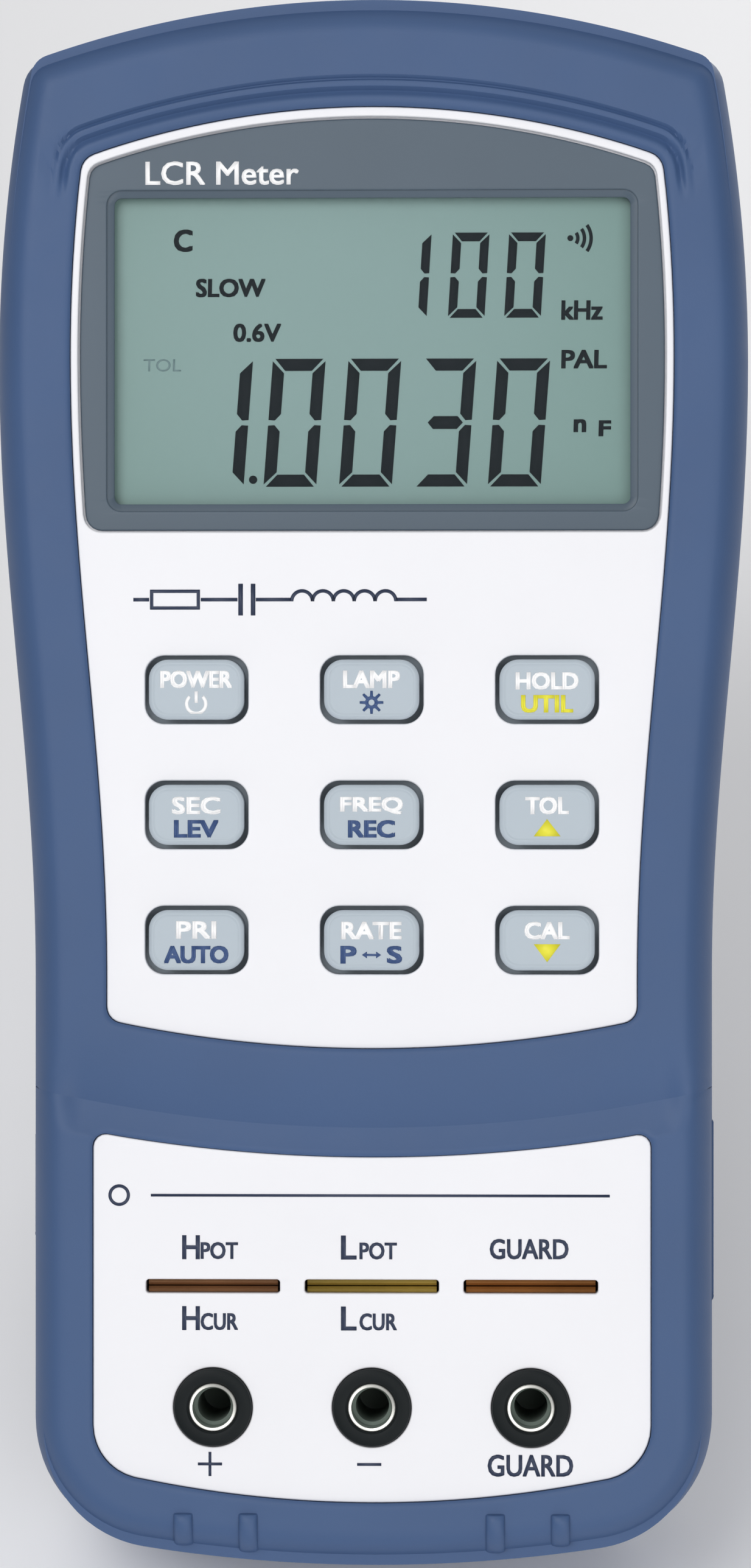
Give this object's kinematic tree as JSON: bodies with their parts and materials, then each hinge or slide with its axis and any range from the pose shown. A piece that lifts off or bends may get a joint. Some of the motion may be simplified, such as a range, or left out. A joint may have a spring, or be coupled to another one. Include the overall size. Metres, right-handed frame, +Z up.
{
  "type": "handheld component meter",
  "caption": "Handheld component meter with a soft blue housing, white face, numeric display, keypad, test slots and banana jacks, leaning on its tilt stand.",
  "frame": {"origin": "middle of the footprint on the table, with the meter leaning on its open stand", "axes": "+X to the right as the user sees the face, +Z up, and the face looks along -Y and up, 50 degrees back from the table"},
  "size_m": [0.0914, 0.1502, 0.1686],
  "materials": {
    "blue_skin": "soft-touch moulded skin with a fine grain",
    "white_shell": "satin white moulded plastic",
    "grey_shell": "fine textured dark grey plastic",
    "mask_grey": "satin grey plastic",
    "clear_window": "clear polished window",
    "lcd": "grey-green liquid crystal panel",
    "white_inner": "white inner plastic",
    "silicone": "matte silicone",
    "carbon": "conductive carbon rubber",
    "board": "green solder resist",
    "chip": "black moulded epoxy",
    "relay": "orange moulded plastic",
    "capacitor": "sleeved aluminium can",
    "bright_steel": "bright plated steel",
    "black_plastic": "satin black plastic",
    "nickel": "nickel-plated brass",
    "gold_spring": "gold-plated spring brass",
    "battery": "plain printed metal jacket",
    "key_grey": "soft satin grey key",
    "blue_rubber": "flexible rubber, same grain as the skin"
  },
  "bodies": {
    "housing": {"front_case": "white_shell", "front_overmould": "blue_skin", "rear_case": "grey_shell", "rear_overmould": "blue_skin", "display_mask": "mask_grey", "display_window": "clear_window", "lcd_glass": "lcd", "lcd_frame": "white_inner", "backlight_panel": "white_inner", "zebra_strips": "silicone", "keypad_mat": "silicone", "contact_pills": "carbon", "main_board": "board", "processor": "chip", "measuring_chip": "chip", "relays": "relay", "capacitors": "capacitor", "crystal": "bright_steel", "buzzer": "black_plastic", "shield_can": "bright_steel", "usb_receptacle": "bright_steel", "dc_socket": "black_plastic", "dc_socket_pin": "nickel", "jack_shroud_plus": "black_plastic", "jack_shroud_minus": "black_plastic", "jack_shroud_guard": "black_plastic", "jack_socket_plus": "nickel", "jack_socket_minus": "nickel", "jack_socket_guard": "nickel", "jack_nuts": "nickel", "slot_block": "black_plastic", "slot_blades": "gold_spring", "battery": "battery", "battery_snap": "black_plastic", "battery_cover": "grey_shell", "battery_cover_screw": "bright_steel", "stand_pin": "bright_steel", "case_screws": "bright_steel", "board_screws": "bright_steel"},
    "key_power": {"key_power": "key_grey"},
    "key_light": {"key_light": "key_grey"},
    "key_hold": {"key_hold": "key_grey"},
    "key_secondary": {"key_secondary": "key_grey"},
    "key_frequency": {"key_frequency": "key_grey"},
    "key_tolerance": {"key_tolerance": "key_grey"},
    "key_primary": {"key_primary": "key_grey"},
    "key_rate": {"key_rate": "key_grey"},
    "key_calibrate": {"key_calibrate": "key_grey"},
    "stand": {"tilt_stand": "grey_shell"},
    "left_flap": {"usb_flap": "blue_rubber"},
    "right_flap": {"dc_flap": "blue_rubber"}
  },
  "joints": [
    {"name": "key_power_press", "type": "slide", "parent": "housing", "child": "key_power", "axis": [0, 0.766, -0.6428], "range_m": [0, 0.0012], "stiffness_N_per_m": 300, "springref_m": -0.0004},
    {"name": "key_light_press", "type": "slide", "parent": "housing", "child": "key_light", "axis": [0, 0.766, -0.6428], "range_m": [0, 0.0012], "stiffness_N_per_m": 300, "springref_m": -0.0004},
    {"name": "key_hold_press", "type": "slide", "parent": "housing", "child": "key_hold", "axis": [0, 0.766, -0.6428], "range_m": [0, 0.0012], "stiffness_N_per_m": 300, "springref_m": -0.0004},
    {"name": "key_secondary_press", "type": "slide", "parent": "housing", "child": "key_secondary", "axis": [0, 0.766, -0.6428], "range_m": [0, 0.0012], "stiffness_N_per_m": 300, "springref_m": -0.0004},
    {"name": "key_frequency_press", "type": "slide", "parent": "housing", "child": "key_frequency", "axis": [0, 0.766, -0.6428], "range_m": [0, 0.0012], "stiffness_N_per_m": 300, "springref_m": -0.0004},
    {"name": "key_tolerance_press", "type": "slide", "parent": "housing", "child": "key_tolerance", "axis": [0, 0.766, -0.6428], "range_m": [0, 0.0012], "stiffness_N_per_m": 300, "springref_m": -0.0004},
    {"name": "key_primary_press", "type": "slide", "parent": "housing", "child": "key_primary", "axis": [0, 0.766, -0.6428], "range_m": [0, 0.0012], "stiffness_N_per_m": 300, "springref_m": -0.0004},
    {"name": "key_rate_press", "type": "slide", "parent": "housing", "child": "key_rate", "axis": [0, 0.766, -0.6428], "range_m": [0, 0.0012], "stiffness_N_per_m": 300, "springref_m": -0.0004},
    {"name": "key_calibrate_press", "type": "slide", "parent": "housing", "child": "key_calibrate", "axis": [0, 0.766, -0.6428], "range_m": [0, 0.0012], "stiffness_N_per_m": 300, "springref_m": -0.0004},
    {"name": "stand_hinge", "type": "hinge", "parent": "housing", "child": "stand", "pos_m": [0, 0.01473, 0.07494], "axis": [1, 0, 0], "range_deg": [-63.54, 0]},
    {"name": "left_flap_hinge", "type": "hinge", "parent": "housing", "child": "left_flap", "pos_m": [-0.0404, -0.03944, 0.04586], "axis": [0, -0.766, 0.6428], "range_deg": [0, 90], "stiffness_Nm_per_rad": 0.003, "springref_deg": -5.73},
    {"name": "right_flap_hinge", "type": "hinge", "parent": "housing", "child": "right_flap", "pos_m": [0.0404, -0.04419, 0.04019], "axis": [0, 0.766, -0.6428], "range_deg": [0, 90], "stiffness_Nm_per_rad": 0.003, "springref_deg": -5.73}
  ]
}
